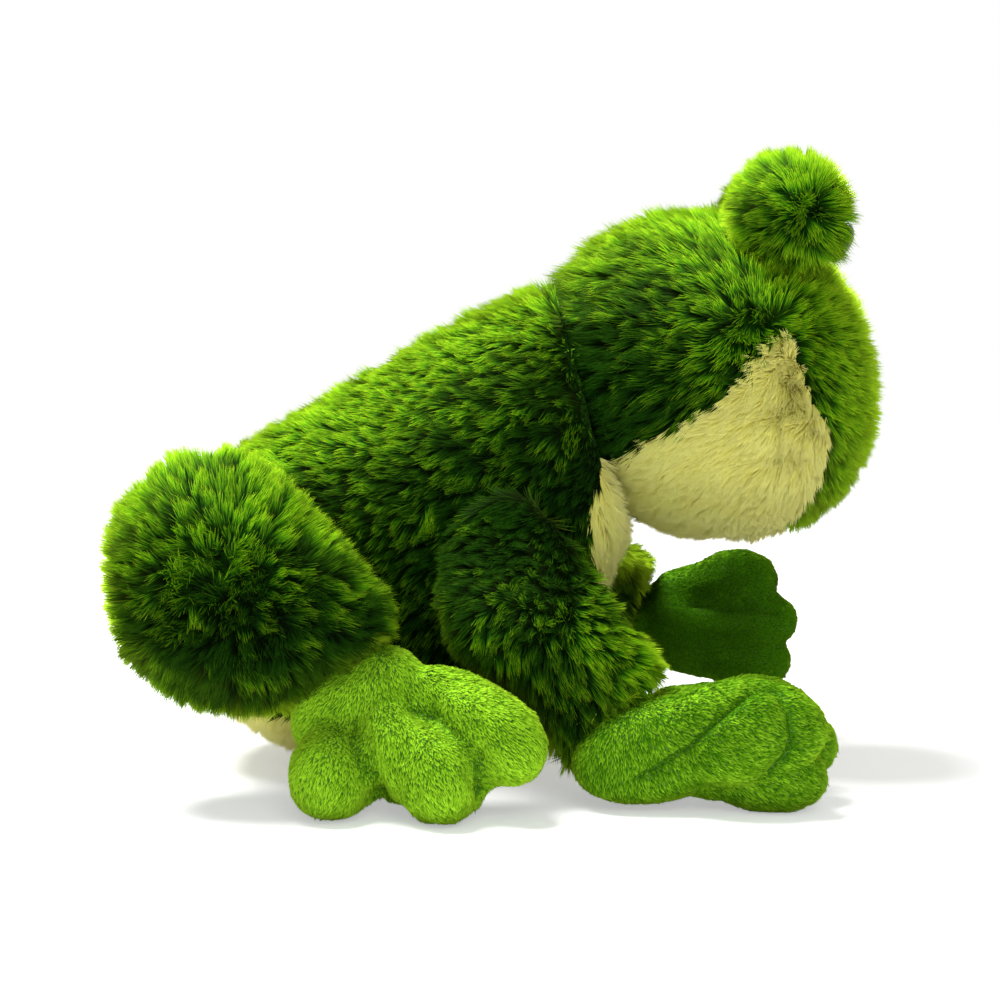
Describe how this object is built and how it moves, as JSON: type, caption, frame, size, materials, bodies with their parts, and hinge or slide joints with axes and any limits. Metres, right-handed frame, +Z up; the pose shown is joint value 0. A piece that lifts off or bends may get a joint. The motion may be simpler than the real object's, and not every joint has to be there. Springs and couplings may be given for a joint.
{
  "type": "plush toy frog",
  "caption": "Stuffed plush frog that sits on its belly, with a large head, raised eye bumps, sewn arms and thighs, and short-pile hands and feet.",
  "frame": {"origin": "on the floor, under the middle of the length from thigh rear to head front and of the width", "axes": "+X forward, the way the frog faces; +Y to its left; +Z up"},
  "size_m": [0.2562, 0.2419, 0.2166],
  "materials": {
    "leaf_plush": "long tufted plush pile, leaf green",
    "cream_plush": "long plush pile, cream yellow",
    "minky": "short brushed nap, bright green",
    "filling_fibre": "loose polyester fibre, white",
    "bag_cloth": "plain woven cloth, natural",
    "sewing_thread": "twisted thread, green",
    "eye_plastic": "polished, black",
    "washer_plastic": "moulded, white"
  },
  "bodies": {
    "torso": {"pellet_bag": "bag_cloth", "torso_back_panel": "leaf_plush", "torso_belly_panel": "cream_plush", "torso_filling": "filling_fibre"},
    "neck": {"neck_gathering_thread": "sewing_thread"},
    "head": {"eye_bump_filling_left": "filling_fibre", "eye_bump_filling_right": "filling_fibre", "eye_bump_skin_left": "leaf_plush", "eye_bump_skin_right": "leaf_plush", "eye_left": "eye_plastic", "eye_right": "eye_plastic", "eye_washer_left": "washer_plastic", "eye_washer_right": "washer_plastic", "head_crown_panel": "leaf_plush", "head_filling": "filling_fibre", "head_jaw_panel": "cream_plush"},
    "arm_right": {"arm_filling_right": "filling_fibre", "arm_skin_right": "leaf_plush"},
    "hand_right": {"hand_filling_right": "filling_fibre", "hand_skin_right": "minky"},
    "arm_left": {"arm_filling_left": "filling_fibre", "arm_skin_left": "leaf_plush"},
    "hand_left": {"hand_filling_left": "filling_fibre", "hand_skin_left": "minky"},
    "thigh_right": {"thigh_filling_right": "filling_fibre", "thigh_skin_right": "leaf_plush"},
    "foot_right": {"foot_filling_right": "filling_fibre", "foot_skin_right": "minky"},
    "thigh_left": {"thigh_filling_left": "filling_fibre", "thigh_skin_left": "leaf_plush"},
    "foot_left": {"foot_filling_left": "filling_fibre", "foot_skin_left": "minky"}
  },
  "joints": [
    {"name": "neck_twist", "type": "hinge", "parent": "torso", "child": "neck", "pos_m": [0.07068, 0, 0.14177], "axis": [0.9676, 0, 0.2527], "range_deg": [-20, 20], "stiffness_Nm_per_rad": 0.3},
    {"name": "neck_nod", "type": "hinge", "parent": "neck", "child": "head", "pos_m": [0.07068, 0, 0.14177], "axis": [0, 1, 0], "range_deg": [-14, 10], "stiffness_Nm_per_rad": 0.4},
    {"name": "shoulder_right", "type": "hinge", "parent": "torso", "child": "arm_right", "pos_m": [0.00055, -0.0523, 0.09198], "axis": [0, 1, 0], "range_deg": [-35, 3], "stiffness_Nm_per_rad": 0.25},
    {"name": "wrist_right", "type": "hinge", "parent": "arm_right", "child": "hand_right", "pos_m": [0.03776, -0.07149, 0.02242], "axis": [0, 1, 0], "range_deg": [-10, 14], "stiffness_Nm_per_rad": 0.12},
    {"name": "hip_right", "type": "hinge", "parent": "torso", "child": "thigh_right", "pos_m": [-0.08444, -0.0523, 0.07164], "axis": [0, 1, 0], "range_deg": [-4, 4], "stiffness_Nm_per_rad": 0.6},
    {"name": "ankle_right", "type": "hinge", "parent": "thigh_right", "child": "foot_right", "pos_m": [-0.0403, -0.08454, 0.03945], "axis": [1, 0, 0], "range_deg": [-10, 14], "stiffness_Nm_per_rad": 0.3},
    {"name": "shoulder_left", "type": "hinge", "parent": "torso", "child": "arm_left", "pos_m": [0.00055, 0.0523, 0.09198], "axis": [0, 1, 0], "range_deg": [-25, 4], "stiffness_Nm_per_rad": 0.25},
    {"name": "wrist_left", "type": "hinge", "parent": "arm_left", "child": "hand_left", "pos_m": [0.05068, 0.09598, 0.04006], "axis": [0, 1, 0], "range_deg": [-12, 14], "stiffness_Nm_per_rad": 0.12},
    {"name": "hip_left", "type": "hinge", "parent": "torso", "child": "thigh_left", "pos_m": [-0.08444, 0.0523, 0.07164], "axis": [0, 1, 0], "range_deg": [-4, 4], "stiffness_Nm_per_rad": 0.6},
    {"name": "ankle_left", "type": "hinge", "parent": "thigh_left", "child": "foot_left", "pos_m": [-0.0403, 0.08454, 0.03945], "axis": [1, 0, 0], "range_deg": [-14, 10], "stiffness_Nm_per_rad": 0.3}
  ]
}
